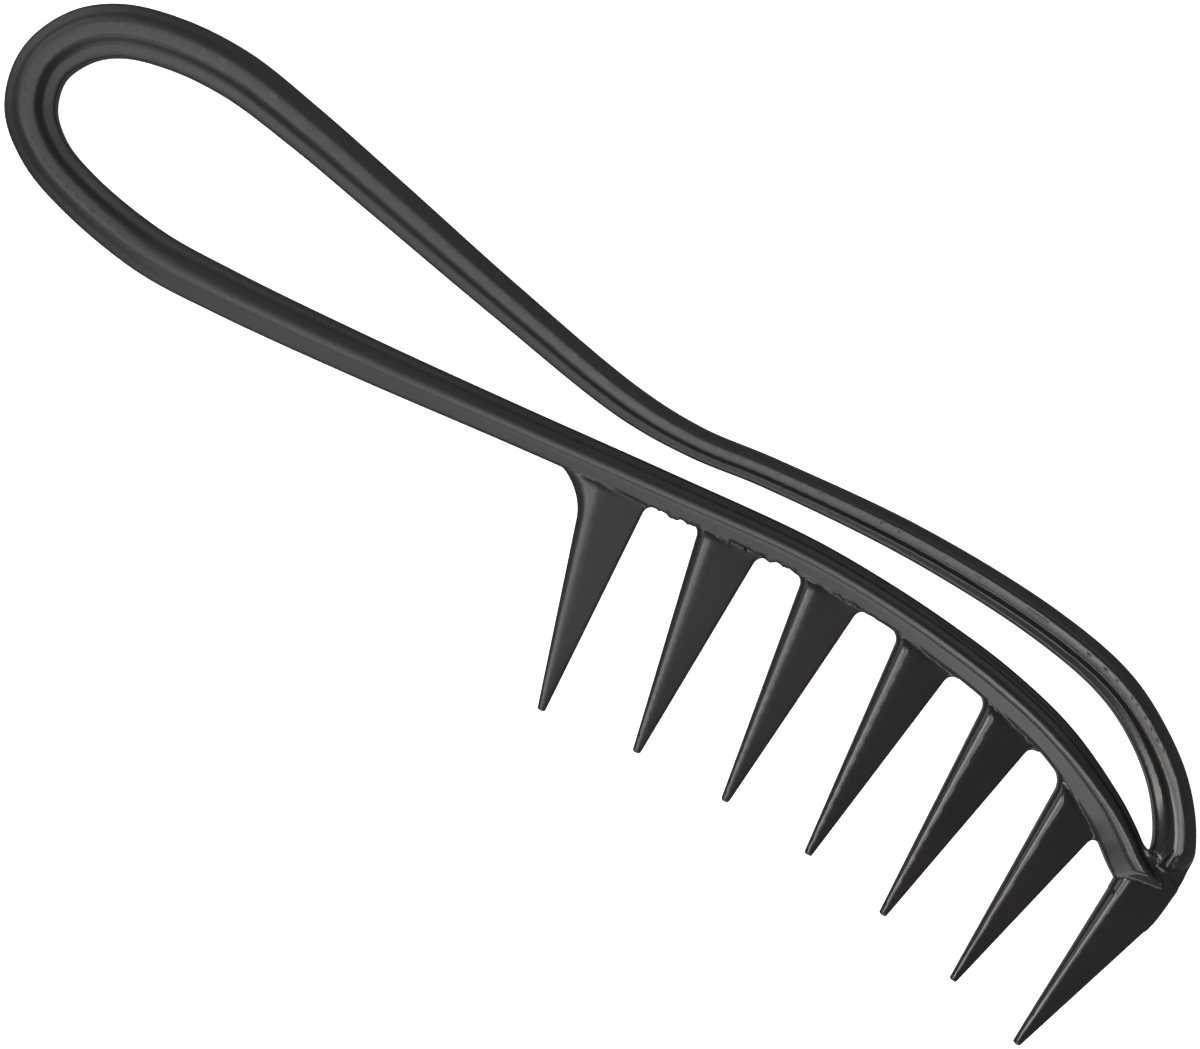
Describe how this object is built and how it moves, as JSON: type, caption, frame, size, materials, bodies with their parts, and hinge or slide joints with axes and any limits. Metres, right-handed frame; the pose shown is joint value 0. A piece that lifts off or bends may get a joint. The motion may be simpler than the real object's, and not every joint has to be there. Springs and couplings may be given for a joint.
{
  "type": "beard comb",
  "caption": "Slim one-piece plastic comb: a bar bent into a long finger loop for a handle, then a double bowed back with tapered pointed teeth under it.",
  "frame": {"origin": "middle of the comb's outline, on the back lands that it lies on", "axes": "+X from the loop handle to the nose, +Y from the teeth to the back, +Z out of the upper face of the comb as it lies flat"},
  "size_m": [0.195, 0.0518, 0.0064],
  "materials": {
    "loop_end_plastic": "satin black",
    "upper_arm_plastic": "satin black",
    "lower_arm_plastic": "satin black",
    "back_bow_plastic": "satin black",
    "tooth_rail_plastic": "satin black",
    "nose_plastic": "semi gloss black",
    "tooth_1_plastic": "semi gloss black",
    "tooth_2_plastic": "semi gloss black",
    "tooth_3_plastic": "semi gloss black",
    "tooth_4_plastic": "semi gloss black",
    "tooth_5_plastic": "semi gloss black",
    "tooth_6_plastic": "semi gloss black",
    "tooth_7_plastic": "semi gloss black"
  },
  "bodies": {
    "root": {"loop_end": "loop_end_plastic", "upper_arm": "upper_arm_plastic", "lower_arm": "lower_arm_plastic", "back_bow": "back_bow_plastic", "tooth_rail": "tooth_rail_plastic", "nose": "nose_plastic", "tooth_1": "tooth_1_plastic", "tooth_2": "tooth_2_plastic", "tooth_3": "tooth_3_plastic", "tooth_4": "tooth_4_plastic", "tooth_5": "tooth_5_plastic", "tooth_6": "tooth_6_plastic", "tooth_7": "tooth_7_plastic"}
  },
  "joints": []
}
